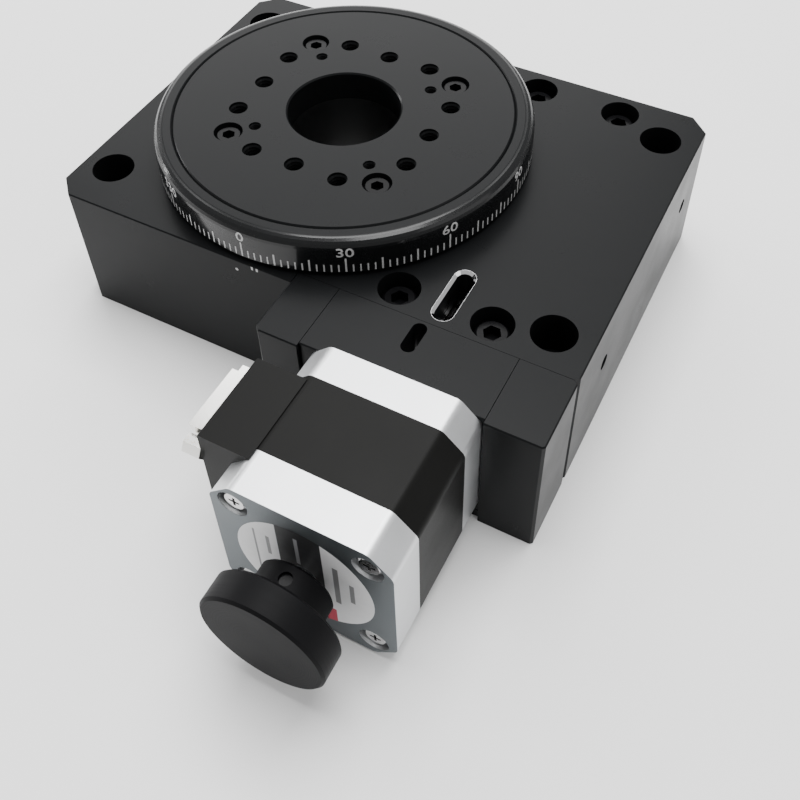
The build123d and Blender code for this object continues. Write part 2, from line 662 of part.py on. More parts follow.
with BuildPart() as wheel_tooth:
    with BuildSketch(flat(WHEEL_BOTTOM)):
        with BuildLine():
            Polyline(
                (wheel_root - 0.1, -foot_half - tooth_shift),
                (wheel_tip, -tip_half - tooth_shift),
                (wheel_tip, tip_half - tooth_shift),
                (wheel_root - 0.1, foot_half - tooth_shift),
                close=True,
            )
        make_face()
    extrude(amount=math.hypot(face_width, 2 * tooth_shift), dir=(0, lead_slope, 1))

with BuildPart() as worm_wheel:
    disc(wheel_root, WHEEL_BOTTOM, WHEEL_TOP, HUB_SPIGOT_RADIUS + FIT_GAP)
    with PolarLocations(0, WHEEL_TEETH):
        add(wheel_tooth.part)
    disc(40.0, WHEEL_BOTTOM, WHEEL_BOTTOM + 1.5, 27.5, mode=Mode.SUBTRACT)
    with Locations((-HOME_RADIUS, 0, WHEEL_BOTTOM + 2.5)):
        Cylinder(2.02, 2.0, mode=Mode.SUBTRACT)
    with BuildSketch(flat(WHEEL_BOTTOM)):
        with Locations(wheel_screw_places):
            Circle(M3_CLEAR_RADIUS)
    extrude(amount=face_width, mode=Mode.SUBTRACT)
    with BuildSketch(flat(WHEEL_BOTTOM)):
        with Locations(wheel_screw_places):
            Circle(M3_HEAD_RADIUS)
    extrude(amount=WHEEL_SCREW_SINK, mode=Mode.SUBTRACT)
save(worm_wheel, "worm_wheel")

wheel_screw = cap_screw(2.75, 3.0, 1.5, 10)
with BuildPart() as wheel_screws:
    with Locations(upward(wheel_screw_places, WHEEL_BOTTOM + WHEEL_SCREW_SINK)):
        add(wheel_screw)
save(wheel_screws, "wheel_screws")

# ------------------------------------------------------- worm with its bearings
WORM_CREST = WORM_PITCH_RADIUS + 0.9 * MODULE
WORM_ROOT = WORM_PITCH_RADIUS - 1.25 * MODULE
WORM_FRONT_Y = -46.0
WORM_REAR_Y = REAR_BEARING_Y + WORM_BEARING_WIDTH + 0.4
thread_half = WORM_TURNS * WORM_LEAD / 2
crest_half = TOOTH_THICKNESS / 2 - 0.9 * MODULE * slope
thread_foot_half = TOOTH_THICKNESS / 2 + 1.35 * MODULE * slope

with BuildPart() as worm_thread:
    with BuildLine():
        Helix(WORM_LEAD, 2 * thread_half, WORM_PITCH_RADIUS, center=(0, 0, -thread_half))
    with BuildSketch(Plane.XZ):
        with BuildLine():
            Polyline(
                (WORM_ROOT - 0.1, -thread_foot_half - thread_half),
                (WORM_CREST, -crest_half - thread_half),
                (WORM_CREST, crest_half - thread_half),
                (WORM_ROOT - 0.1, thread_foot_half - thread_half),
                close=True,
            )
        make_face()
    sweep(is_frenet=True)

with BuildPart() as worm_shaft:
    roller(WORM_ROOT, FRONT_BEARING_Y + WORM_BEARING_WIDTH, REAR_BEARING_Y)
    roller(WORM_BEARING_BORE - FIT_GAP, WORM_FRONT_Y + 2, WORM_REAR_Y)
    with Locations(Location((WORM_AXIS_X, 0, WORM_AXIS_Z), (-90, 0, 0))):
        add(worm_thread.part)
save(worm_shaft, "worm_shaft")

bearing_starts = (FRONT_BEARING_Y, REAR_BEARING_Y)
with BuildPart() as worm_bearing_outer_rings:
    for start in bearing_starts:
        roller(WORM_BEARING_RADIUS, start, start + WORM_BEARING_WIDTH, 5.1)
save(worm_bearing_outer_rings, "worm_bearing_outer_rings")

with BuildPart() as worm_bearing_inner_rings:
    for start in bearing_starts:
        roller(4.2, start, start + WORM_BEARING_WIDTH, WORM_BEARING_BORE)
save(worm_bearing_inner_rings, "worm_bearing_inner_rings")

with BuildPart() as bearing_nut:
    roller(WORM_BEARING_RADIUS, REAR_BEARING_Y + WORM_BEARING_WIDTH, 45.5, 4.4)
save(bearing_nut, "bearing_nut")

COUPLING_MIDDLE = -45.0
COUPLING_SCREW_RADIUS = 1.5
COUPLING_SCREW_LENGTH = 4.2
coupling_screw_places = [
    (WORM_AXIS_X, y, WORM_AXIS_Z + WORM_BEARING_BORE + COUPLING_SCREW_LENGTH / 2)
    for y in (COUPLING_FRONT_Y + 3.0, COUPLING_REAR_Y - 4.0)
]
with BuildPart() as shaft_coupling:
    roller(COUPLING_RADIUS, COUPLING_FRONT_Y, COUPLING_REAR_Y)
    roller(SHAFT_RADIUS, COUPLING_FRONT_Y, COUPLING_MIDDLE, mode=Mode.SUBTRACT)
    roller(WORM_BEARING_BORE, COUPLING_MIDDLE, COUPLING_REAR_Y, mode=Mode.SUBTRACT)
    # flexing cuts, alternate sides
    for index in range(3):
        cut_y = COUPLING_MIDDLE - 2.2 + 2.0 * index
        shift = 3.0 if index % 2 else -3.0
        block(
            (WORM_AXIS_X + shift - 8.5, WORM_AXIS_X + shift + 8.5),
            (cut_y, cut_y + 0.5),
            (WORM_AXIS_Z - 9, WORM_AXIS_Z + 9),
            mode=Mode.SUBTRACT,
        )
    with Locations(coupling_screw_places):
        Cylinder(COUPLING_SCREW_RADIUS, 2 * COUPLING_SCREW_LENGTH, mode=Mode.SUBTRACT)
save(shaft_coupling, "shaft_coupling")

with BuildPart() as coupling_screws:
    with Locations(coupling_screw_places):
        Cylinder(COUPLING_SCREW_RADIUS - 0.01, COUPLING_SCREW_LENGTH)
    with BuildSketch(flat(WORM_AXIS_Z + WORM_BEARING_BORE + COUPLING_SCREW_LENGTH)):
        with Locations([place[:2] for place in coupling_screw_places]):
            RegularPolygon(0.75, 6, major_radius=False)
    extrude(amount=-2, mode=Mode.SUBTRACT)
save(coupling_screws, "coupling_screws")

# ----------------------------------------------------------------------- motor
SHAFT_END_Y = -121.0
ROTOR_RADIUS = 11.0
ROTOR_FRONT_Y = -77.0
ROTOR_REAR_Y = -94.0
ROTOR_BORE_RADIUS = 11.5
SHAFT_HOLE_RADIUS = SHAFT_RADIUS + 0.06
MOTOR_SCREW_SEAT_Y = MOTOR_REAR_Y + 2.6
MOTOR_SCREW_HOLE_RADIUS = 1.6
MOTOR_SCREW_RECESS_RADIUS = 3.6
MOTOR_SCREW_END_Y = MOTOR_FACE_Y + 6.0


def motor_slice(front, back):
    """Add a chamfered square slice of the motor between y = front and y = back."""
    with Locations(Location((WORM_AXIS_X, (front + back) / 2, WORM_AXIS_Z), (90, 0, 0))):
        Box(MOTOR_WIDTH, MOTOR_WIDTH, abs(front - back))


def motor_holes(radius, start, end):
    """Take away the four holes on the motor's screw square between two y values."""
    middle = (start + end) / 2
    places = [(WORM_AXIS_X + x, middle, WORM_AXIS_Z + z) for x, z in motor_screw_places]
    with Locations([Location(place, (90, 0, 0)) for place in places]):
        Cylinder(radius, abs(end - start), mode=Mode.SUBTRACT)


with BuildPart() as motor_front_cap:
    motor_slice(MOTOR_FACE_Y, STATOR_FRONT_Y)
    chamfer(motor_front_cap.edges().filter_by(Axis.Y), MOTOR_CHAMFER)
    fillet(motor_front_cap.edges().filter_by(Axis.Y), MOTOR_ROUNDING)
    roller(PILOT_RADIUS, MOTOR_FACE_Y - 1, MOTOR_FACE_Y + 2.0)
    roller(SHAFT_HOLE_RADIUS, STATOR_FRONT_Y, MOTOR_FACE_Y + 2.0, mode=Mode.SUBTRACT)
    motor_holes(MOTOR_SCREW_HOLE_RADIUS, MOTOR_FACE_Y, STATOR_FRONT_Y)
save(motor_front_cap, "motor_front_cap")

with BuildPart() as motor_stator:
    motor_slice(STATOR_FRONT_Y, STATOR_REAR_Y)
    chamfer(motor_stator.edges().filter_by(Axis.Y), MOTOR_CHAMFER)
    fillet(motor_stator.edges().filter_by(Axis.Y), MOTOR_ROUNDING)
    roller(ROTOR_BORE_RADIUS, STATOR_REAR_Y, STATOR_FRONT_Y, mode=Mode.SUBTRACT)
    motor_holes(MOTOR_SCREW_HOLE_RADIUS, STATOR_FRONT_Y, STATOR_REAR_Y)
save(motor_stator, "motor_stator")

with BuildPart() as motor_rear_cap:
    motor_slice(STATOR_REAR_Y, MOTOR_REAR_Y)
    chamfer(motor_rear_cap.edges().filter_by(Axis.Y), MOTOR_CHAMFER)
    fillet(motor_rear_cap.edges().filter_by(Axis.Y), MOTOR_ROUNDING)
    roller(SHAFT_HOLE_RADIUS, MOTOR_REAR_Y, STATOR_REAR_Y, mode=Mode.SUBTRACT)
    motor_holes(MOTOR_SCREW_HOLE_RADIUS, STATOR_REAR_Y, MOTOR_REAR_Y)
    motor_holes(MOTOR_SCREW_RECESS_RADIUS, MOTOR_SCREW_SEAT_Y, MOTOR_REAR_Y)
save(motor_rear_cap, "motor_rear_cap")


def pan_screw(head_radius, head_height, shank_radius, length):
    """Cross-head screw along Z, with its seat at z = 0 and its shank below."""
    with BuildPart() as screw:
        with BuildSketch(flat(-length)):
            Circle(shank_radius)
        extrude(amount=length)
        with BuildSketch(flat(0)):
            Circle(head_radius)
        extrude(amount=head_height)
        chamfer(screw.edges().filter_by(GeomType.CIRCLE).group_by(Axis.Z)[-1], 0.5)
        with BuildSketch(flat(head_height)):
            Rectangle(2.6, 0.6)
            Rectangle(0.6, 2.6)
        extrude(amount=-1.1, mode=Mode.SUBTRACT)
    return screw.part


def outward(y):
    """Locations on the motor's screw square, for screws put in from the rear at y."""
    return [
        Location((WORM_AXIS_X + x, y, WORM_AXIS_Z + z), (90, 0, 0)) for x, z in motor_screw_places
    ]


rear_screw = pan_screw(2.8, 2.0, 1.5, abs(MOTOR_SCREW_SEAT_Y - MOTOR_SCREW_END_Y))
with BuildPart() as motor_screws:
    with Locations(outward(MOTOR_SCREW_SEAT_Y)):
        add(rear_screw)
save(motor_screws, "motor_screws")

with BuildPart() as motor_shaft:
    roller(SHAFT_RADIUS - 0.01, SHAFT_END_Y, WORM_FRONT_Y)
save(motor_shaft, "motor_shaft")

with BuildPart() as motor_rotor:
    roller(ROTOR_RADIUS, ROTOR_REAR_Y, ROTOR_FRONT_Y, SHAFT_RADIUS)
save(motor_rotor, "motor_rotor")

# --------------------------------------------------------------- connector box
SHELL_REACH = 4.8
SHELL_WIDTH = 16.3
SHELL_HEIGHT = 8.3
SHELL_WALL = 0.5
SHELL_SLANT = 10.0
SOCKET_DEPTH = 4.0
INSULATOR_SINK = 1.0
POST_SPACING = 20.0
POST_REACH = 4.4
POST_ACROSS_FLATS = 4.2
POST_SHANK_RADIUS = 0.7
PIN_PITCH = 2.4
PIN_ROW = 2.6
CONNECTOR_Y = (BOX_FRONT_Y + BOX_BACK_Y) / 2
INSULATOR_FACE_X = BOX_LEFT + INSULATOR_SINK
SOCKET_FLOOR_X = BOX_LEFT + SOCKET_DEPTH


def facing(x):
    """Plane square to the connector at x, with local X along -Y and Z toward -X."""
    return Plane(origin=(x, CONNECTOR_Y, CONNECTOR_Z), x_dir=(0, -1, 0), z_dir=(-1, 0, 0))


def d_outline(width, height):
    """Corners of the connector's D, its wide side up."""
    slant = height * math.tan(math.radians(SHELL_SLANT))
    half = width / 2
    return [
        (-half, height / 2),
        (half, height / 2),
        (half - slant, -height / 2),
        (slant - half, -height / 2),
    ]


post_places = [(-POST_SPACING / 2, 0), (POST_SPACING / 2, 0)]
pin_places = [(PIN_PITCH * (i - 2), PIN_ROW / 2) for i in range(5)]
pin_places += [(PIN_PITCH * (i - 1.5), -PIN_ROW / 2) for i in range(4)]

with BuildPart() as connector_box:
    with BuildSketch(across(BOX_FRONT_Y)):
        with BuildLine():
            left = WORM_AXIS_X - BOX_LEFT
            inner = MOTOR_WIDTH / 2
            Polyline(
                (left, BOX_BOTTOM - WORM_AXIS_Z),
                (left, inner),
                (inner - MOTOR_CHAMFER, inner),
                (inner, inner - MOTOR_CHAMFER),
                (inner, BOX_BOTTOM - WORM_AXIS_Z),
                close=True,
            )
        make_face()
    extrude(amount=BOX_BACK_Y - BOX_FRONT_Y)
    chamfer(connector_box.edges().filter_by(Axis.Y).group_by(Axis.X)[0], 0.2)
    with BuildSketch(facing(BOX_LEFT)):
        with BuildLine():
            Polyline(*d_outline(SHELL_WIDTH, SHELL_HEIGHT), close=True)
        make_face()
        with Locations(post_places):
            Circle(POST_SHANK_RADIUS + FIT_GAP)
    extrude(amount=-SOCKET_DEPTH, mode=Mode.SUBTRACT)
save(connector_box, "connector_box")

with BuildPart() as connector_shell:
    with BuildSketch(facing(SOCKET_FLOOR_X)):
        with BuildLine():
            Polyline(*d_outline(SHELL_WIDTH, SHELL_HEIGHT), close=True)
        make_face()
        with BuildLine():
            Polyline(*d_outline(SHELL_WIDTH - 2 * SHELL_WALL, SHELL_HEIGHT - 2 * SHELL_WALL), close=True)
        make_face(mode=Mode.SUBTRACT)
    extrude(amount=SOCKET_DEPTH + SHELL_REACH)
save(connector_shell, "connector_shell")

with BuildPart() as connector_insulator:
    with BuildSketch(facing(SOCKET_FLOOR_X)):
        with BuildLine():
            Polyline(*d_outline(SHELL_WIDTH - 1.2, SHELL_HEIGHT - 1.2), close=True)
        make_face()
    extrude(amount=SOCKET_FLOOR_X - INSULATOR_FACE_X)
save(connector_insulator, "connector_insulator")

with BuildPart() as connector_pins:
    with BuildSketch(facing(INSULATOR_FACE_X)):
        with Locations(pin_places):
            Circle(0.5)
    extrude(amount=4.6)
save(connector_pins, "connector_pins")

with BuildPart() as connector_posts:
    with BuildSketch(facing(BOX_LEFT)):
        with Locations(post_places):
            RegularPolygon(POST_ACROSS_FLATS / 2, 6, major_radius=False)
    extrude(amount=POST_REACH)
    with BuildSketch(facing(BOX_LEFT)):
        with Locations(post_places):
            Circle(POST_SHANK_RADIUS)
    extrude(amount=-SOCKET_DEPTH)
    with BuildSketch(facing(BOX_LEFT - POST_REACH)):
        with Locations(post_places):
            Circle(1.3)
    extrude(amount=-POST_REACH + 0.6, mode=Mode.SUBTRACT)
save(connector_posts, "connector_posts")

# ------------------------------------------------------------------------ knob
KNOB_BEVEL = 0.6
with BuildPart() as knob:
    roller(KNOB_RADIUS, KNOB_FRONT_Y, KNOB_REAR_Y)
    chamfer(knob.edges().filter_by(GeomType.CIRCLE), KNOB_BEVEL)
    roller(KNOB_HUB_RADIUS, KNOB_REAR_Y - 1, KNOB_HUB_Y)
    chamfer(knob.edges().filter_by(GeomType.CIRCLE).sort_by(Axis.Y)[-1], KNOB_BEVEL)
    roller(SHAFT_RADIUS, SHAFT_END_Y - 0.2, KNOB_HUB_Y, mode=Mode.SUBTRACT)
    with Locations((WORM_AXIS_X, -112.0, WORM_AXIS_Z + 6)):
        Cylinder(M3_THREAD_RADIUS, 8, mode=Mode.SUBTRACT)
save(knob, "knob")

with BuildPart() as knob_set_screw:
    with Locations((WORM_AXIS_X, -112.0, WORM_AXIS_Z + 5.1)):
        Cylinder(1.5, 5)
save(knob_set_screw, "knob_set_screw")

# --------------------------------------------------------- home switch and magnet
with BuildPart() as home_magnet:
    with Locations((-HOME_RADIUS, 0, WHEEL_BOTTOM + 2.4)):
        Cylinder(2.0, 2.0)
save(home_magnet, "home_magnet")

with BuildPart() as home_sensor:
    block((-HOME_RADIUS - 6, -HOME_RADIUS + 6), (-8, 8), (COVER_THICKNESS, COVER_THICKNESS + 1.6))
    block((-HOME_RADIUS - 1.5, -HOME_RADIUS + 1.5), (-2, 2), (COVER_THICKNESS + 1.6, 14.5))
save(home_sensor, "home_sensor")
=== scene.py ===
"""Looks of a motorised worm-gear rotation stage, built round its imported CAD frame.

Lengths in this file are metres unless a name says otherwise. The table's axis is Z, and the worm
and the motor lie along Y. The camera stands where the photograph's camera stood.
"""

import json
import logging
import math
from dataclasses import dataclass
from enum import Enum
from typing import Any, Sequence

import bmesh
import bpy
import numpy as np
from mathutils import Matrix, Vector


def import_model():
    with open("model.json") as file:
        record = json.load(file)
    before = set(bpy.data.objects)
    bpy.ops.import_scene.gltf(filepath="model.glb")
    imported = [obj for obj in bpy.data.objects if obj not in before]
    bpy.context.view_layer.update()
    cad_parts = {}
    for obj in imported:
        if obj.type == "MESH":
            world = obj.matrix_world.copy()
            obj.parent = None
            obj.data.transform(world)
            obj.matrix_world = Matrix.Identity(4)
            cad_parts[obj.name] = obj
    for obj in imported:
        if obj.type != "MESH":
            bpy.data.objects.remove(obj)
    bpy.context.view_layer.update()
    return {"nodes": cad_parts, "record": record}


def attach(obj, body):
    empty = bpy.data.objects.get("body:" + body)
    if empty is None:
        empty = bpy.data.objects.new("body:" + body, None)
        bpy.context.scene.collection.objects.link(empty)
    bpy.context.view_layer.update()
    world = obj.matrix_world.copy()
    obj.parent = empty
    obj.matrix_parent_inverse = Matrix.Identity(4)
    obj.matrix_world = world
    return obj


LOG = logging.getLogger("rotation_stage")
MM = 0.001

Number = float | int
Colour = tuple[float, float, float]
Paint = tuple[float, float, float, float]
Box = tuple[float, float, float, float]


# ------------------------------------------------------------------ shader graph


class Value:
    """One shader output with arithmetic, so that node maths reads as a formula."""

    def __init__(self, graph: "Graph", output: bpy.types.NodeSocket | None) -> None:
        """Wrap an output.

        Args:
            graph: the graph that owns the node.
            output: the node's output socket, or None for a node that only takes.
        """
        self.graph = graph
        self.output = output

    def _math(self, operation: str, *operands: Any) -> "Value":
        """Return a Math node's result.

        Args:
            operation: the node's operation.
            operands: numbers or values, in socket order.

        Returns:
            The result.
        """
        inputs = dict(enumerate(operands))
        return self.graph.node("ShaderNodeMath", {"operation": operation}, inputs)

    def __add__(self, other: Any) -> "Value":
        return self._math("ADD", self, other)

    def __radd__(self, other: Any) -> "Value":
        return self._math("ADD", other, self)

    def __sub__(self, other: Any) -> "Value":
        return self._math("SUBTRACT", self, other)

    def __mul__(self, other: Any) -> "Value":
        return self._math("MULTIPLY", self, other)

    def __pow__(self, other: Any) -> "Value":
        return self._math("POWER", self, other)

    def apply(self, operation: str, *others: Any) -> "Value":
        """Return any other Math operation on this value.

        Args:
            operation: the node's operation, such as SINE.
            others: further operands.

        Returns:
            The result.
        """
        return self._math(operation, self, *others)

    def ramp(self, low: Number, high: Number, start: Any = 0.0, end: Any = 1.0) -> "Value":
        """Return start below low and end above high, with a smooth step between them.

        Args:
            low: value where the step begins.
            high: value where the step ends.
            start: result below the step.
            end: result above the step.

        Returns:
            The smoothed value.
        """
        settings = {"interpolation_type": "SMOOTHSTEP", "clamp": True}
        inputs = {"Value": self, "From Min": low, "From Max": high, "To Min": start, "To Max": end}
        return self.graph.node("ShaderNodeMapRange", settings, inputs)

    def within(self, low: Number, high: Number, edge: Number = 0.1) -> "Value":
        """Return 1 between low and high and 0 outside them, with soft edges.

        Args:
            low: where the span begins.
            high: where the span ends.
            edge: width of each soft edge.

        Returns:
            The mask.
        """
        return self.ramp(low, low + edge) * self.ramp(high - edge, high, 1.0, 0.0)

    def limit(self, low: Number, high: Number) -> "Value":
        """Return this value kept between two limits.

        Args:
            low: smallest result.
            high: largest result.

        Returns:
            The limited value.
        """
        return self.apply("MAXIMUM", low).apply("MINIMUM", high)


class Graph:
    """One material's node tree."""

    def __init__(self, name: str) -> None:
        """Start an empty material.

        Args:
            name: the material's name.
        """
        self.material = bpy.data.materials.new(name)
        self.material.use_nodes = True
        self.tree = self.material.node_tree
        self.tree.nodes.clear()

    def node(
        self,
        kind: str,
        settings: dict[str, Any] | None = None,
        inputs: dict[Any, Any] | None = None,
        output: Any = 0,
    ) -> Value:
        """Add any node.

        Args:
            kind: the node's type name.
            settings: its properties.
            inputs: numbers, tuples or values by socket name or index.
            output: name or index of the output to return.

        Returns:
            The wrapped output.
        """
        made = self.tree.nodes.new(kind)
        for key, setting in (settings or {}).items():
            setattr(made, key, setting)
        for key, given in (inputs or {}).items():
            socket = made.inputs[key]
            if isinstance(given, Value):
                self.tree.links.new(given.output, socket)
            else:
                socket.default_value = given
        return Value(self, made.outputs[output] if made.outputs else None)

    def place(self) -> Value:
        """Return Object coordinates in millimetres.

        Returns:
            The vector.
        """
        raw = self.node("ShaderNodeTexCoord", output="Object")
        scale = {"operation": "SCALE"}
        return self.node("ShaderNodeVectorMath", scale, {0: raw, "Scale": 1.0 / MM})

    def split(self, vector: Value) -> tuple[Value, Value, Value]:
        """Return a vector's three parts.

        Args:
            vector: the vector.

        Returns:
            X, Y and Z.
        """
        parts = self.node("ShaderNodeSeparateXYZ", inputs={0: vector})
        outputs = parts.output.node.outputs
        return Value(self, outputs[0]), Value(self, outputs[1]), Value(self, outputs[2])

    def join(self, x: Any, y: Any, z: Any) -> Value:
        """Return a vector made of three parts.

        Args:
            x: first part.
            y: second part.
            z: third part.

        Returns:
            The vector.
        """
        return self.node("ShaderNodeCombineXYZ", inputs={0: x, 1: y, 2: z})

    def noise(self, vector: Value, scale: Number, detail: Number = 2.0) -> Value:
        """Return smooth noise between 0 and 1.

        Args:
            vector: where to read it.
            scale: how fast it varies, per unit of the vector.
            detail: number of finer layers.

        Returns:
            The noise.
        """
        inputs = {"Vector": vector, "Scale": scale, "Detail": detail}
        return self.node("ShaderNodeTexNoise", inputs=inputs)

    def blend(self, factor: Any, first: Any, second: Any) -> Value:
        """Return a colour between two colours.

        Args:
            factor: 0 gives first and 1 gives second.
            first: colour or value.
            second: colour or value.

        Returns:
            The mixed colour.
        """
        settings = {"data_type": "RGBA"}
        inputs = {0: factor, 6: first, 7: second}
        return self.node("ShaderNodeMix", settings, inputs, output=2)

    def bump(self, height: Value, depth_mm: Number, strength: Number = 1.0) -> Value:
        """Return a normal raised by a height.

        Args:
            height: height between 0 and 1.
            depth_mm: what 1 stands for, in millimetres.
            strength: how strongly it shows.

        Returns:
            The normal.
        """
        inputs = {"Strength": strength, "Distance": depth_mm * MM, "Height": height}
        return self.node("ShaderNodeBump", inputs=inputs)

    def surface(self, constants: dict[str, Any], varying: dict[str, Value]) -> bpy.types.Material:
        """Finish the material with one Principled shader.

        Args:
            constants: fixed socket values.
            varying: values that change over the surface.

        Returns:
            The material.
        """
        inputs = {**constants, **varying}
        shader = self.node("ShaderNodeBsdfPrincipled", inputs=inputs, output="BSDF")
        self.node("ShaderNodeOutputMaterial", inputs={"Surface": shader})
        return self.material


# ---------------------------------------------------------------------- finishes


class Lay(Enum):
    """Direction of the fine lines that a tool left on a surface."""

    NONE = "none"
    ROUND_TABLE = "round the table's axis"
    ROUND_WORM = "round the worm's axis"


# where the regions lie on the part
WORM_AXIS_MM = (50.0, 22.0)
SLOT_X_MM = 50.4
SLOT_CENTRES_MM = (-43.1, -31.5)
SLOT_HALF_MM = 2.1
BEVEL_START_MM = -0.06
BEVEL_MM = 0.75
BEVEL_FOOT_MM = 38.7
BORE_WALL_MM = 15.3
REAR_FACE_MM = -105.98
RING_EDGE_MM = 47.5
# widths over which one finish passes into the other
BEVEL_SOFT_MM = 0.04
FACE_SOFT_MM = 0.05
BORE_SOFT_MM = 0.1
RING_SOFT_MM = 0.4


class Region(Enum):
    """Part of a node's surface whose finish differs from the rest of the node."""

    NONE = "none"
    SLOT_BEVEL = "bevel round the rear slot"
    BORE_WALL = "wall of the table's bore"
    # painted shade: the cap's rear face gets a darker grey than its top, standing in for the shade
    # that falls on that face, though the metal is the same
    REAR_FACE = "rear face of the motor's cap"
    RING_EDGE = "rounded edge and side of the scale ring"

    def mask(self, graph: Graph, place: Value) -> Value:
        """Return 1 inside the region and 0 outside it.

        The slot's bevel lies between two distances from the slot's centre line, near the top face.
        The bore's wall lies within one distance of the table's axis, and the ring's edge lies
        outside another. The rear face lies behind one Y.

        Args:
            graph: the material's graph.
            place: coordinates in millimetres.

        Returns:
            The mask.
        """
        x, y, z = graph.split(place)
        if self is Region.SLOT_BEVEL:
            across = x - SLOT_X_MM
            along = y - y.limit(*SLOT_CENTRES_MM)
            out = (across * across + along * along) ** 0.5 - SLOT_HALF_MM
            ring = out.within(BEVEL_START_MM, BEVEL_MM, BEVEL_SOFT_MM)
            return ring * z.ramp(BEVEL_FOOT_MM, BEVEL_FOOT_MM + FACE_SOFT_MM)
        if self is Region.REAR_FACE:
            return y.ramp(REAR_FACE_MM, REAR_FACE_MM + FACE_SOFT_MM, 1.0, 0.0)
        radius = (x * x + y * y) ** 0.5
        if self is Region.RING_EDGE:
            return radius.ramp(RING_EDGE_MM, RING_EDGE_MM + RING_SOFT_MM)
        return radius.ramp(BORE_WALL_MM - BORE_SOFT_MM, BORE_WALL_MM, 1.0, 0.0)


# how every finish is made: noise scales per millimetre, and shares of each noise
CLOUD_SCALE = 0.09
CLOUD_DETAIL = 3.0
GRAIN_ROUGHNESS = 0.05
LINE_ROUGHNESS = 0.1
GRAIN_HEIGHT_SHARE = 0.4
LINE_HEIGHT_SHARE = 0.6
CLOUD_COLOUR_SHARE = 0.7
GRAIN_COLOUR_SHARE = 0.3
COAT_ROUGHNESS = 0.13
ROUGHNESS_LIMITS = (0.02, 0.98)


@dataclass(frozen=True)
class Finish:
    """A surface finish.

    Attributes:
        name: the material's name.
        colour: linear base colour.
        metallic: 0 for paint or plastic, 1 for bare metal.
        roughness: mean roughness.
        variation: how far roughness wanders.
        grain_mm: size of the surface's grain.
        grain_depth_mm: height of the grain.
        lay: direction of tool lines.
        lay_pitch_mm: spacing of tool lines.
        coat: thin clear layer's weight.
        mottle: how far the colour wanders.
        specular: strength of the dielectric reflection.
    """

    name: str
    colour: Colour
    metallic: float = 0.0
    roughness: float = 0.4
    variation: float = 0.06
    grain_mm: float = 0.25
    grain_depth_mm: float = 0.004
    lay: Lay = Lay.NONE
    lay_pitch_mm: float = 0.25
    coat: float = 0.0
    mottle: float = 0.12
    specular: float = 0.5

    def material(
        self, region: Region = Region.NONE, other: "Finish | None" = None
    ) -> bpy.types.Material:
        """Build the material.

        Args:
            region: part of the surface that has another finish.
            other: that finish.

        Returns:
            The material.
        """
        graph = Graph(self.name if other is None else f"{self.name}_with_{other.name}")
        place = graph.place()
        colour, rough, height = self._look(graph, place)
        metallic: Any = self.metallic
        coat: Any = self.coat
        if other is not None:
            mask = region.mask(graph, place)
            other_colour, other_rough, _ = other._look(graph, place)
            colour = graph.blend(mask, colour, other_colour)
            rough = rough + mask * (other_rough - rough)
            if other.metallic != metallic:
                metallic = mask * (other.metallic - self.metallic) + self.metallic
            if other.coat != coat:
                coat = mask * (other.coat - self.coat) + self.coat
        constants = {
            "Coat Weight": coat,
            "Coat Roughness": COAT_ROUGHNESS,
            "Specular IOR Level": self.specular,
            "Metallic": metallic,
        }
        varying = {
            "Base Color": colour,
            "Roughness": rough.ramp(0.0, 1.0, *ROUGHNESS_LIMITS),
            "Normal": graph.bump(height, self.grain_depth_mm),
        }
        return graph.surface(constants, varying)

    def _look(self, graph: Graph, place: Value) -> tuple[Value, Value, Value]:
        """Return the colour, the roughness and the height of the surface.

        Args:
            graph: the material's graph.
            place: coordinates in millimetres.

        Returns:
            Colour, roughness and height.
        """
        cloud = graph.noise(place, CLOUD_SCALE, CLOUD_DETAIL)
        grain = graph.noise(place, 1.0 / self.grain_mm, 2.0)
        height = grain
        wander = (cloud - 0.5) * (2.0 * self.variation)
        rough = self.roughness + wander + (grain - 0.5) * GRAIN_ROUGHNESS
        if self.lay is not Lay.NONE:
            lines = self._tool_lines(graph, place)
            height = grain * GRAIN_HEIGHT_SHARE + lines * LINE_HEIGHT_SHARE
            rough = rough + (lines - 0.5) * LINE_ROUGHNESS
        dark = tuple(max(0.0, c * (1.0 - self.mottle)) for c in self.colour) + (1.0,)
        light = tuple(min(1.0, c * (1.0 + self.mottle)) for c in self.colour) + (1.0,)
        factor = cloud * CLOUD_COLOUR_SHARE + grain * GRAIN_COLOUR_SHARE
        colour = graph.blend(factor, dark, light)
        return colour, rough, height

    def _tool_lines(self, graph: Graph, place: Value) -> Value:
        """Return fine lines round an axis.

        They are noise read by the distance from the axis and the place along it.

        Args:
            graph: the material's graph.
            place: coordinates in millimetres.

        Returns:
            The lines' height between 0 and 1.
        """
        x, y, z = graph.split(place)
        if self.lay is Lay.ROUND_TABLE:
            first, second, along = x, y, z
        else:
            first, second, along = x - WORM_AXIS_MM[0], z - WORM_AXIS_MM[1], y
        radius = (first * first + second * second) ** 0.5
        return graph.noise(graph.join(radius, along, 0.0), 1.0 / self.lay_pitch_mm, 1.0)


BLACK = (0.0062, 0.0066, 0.007)

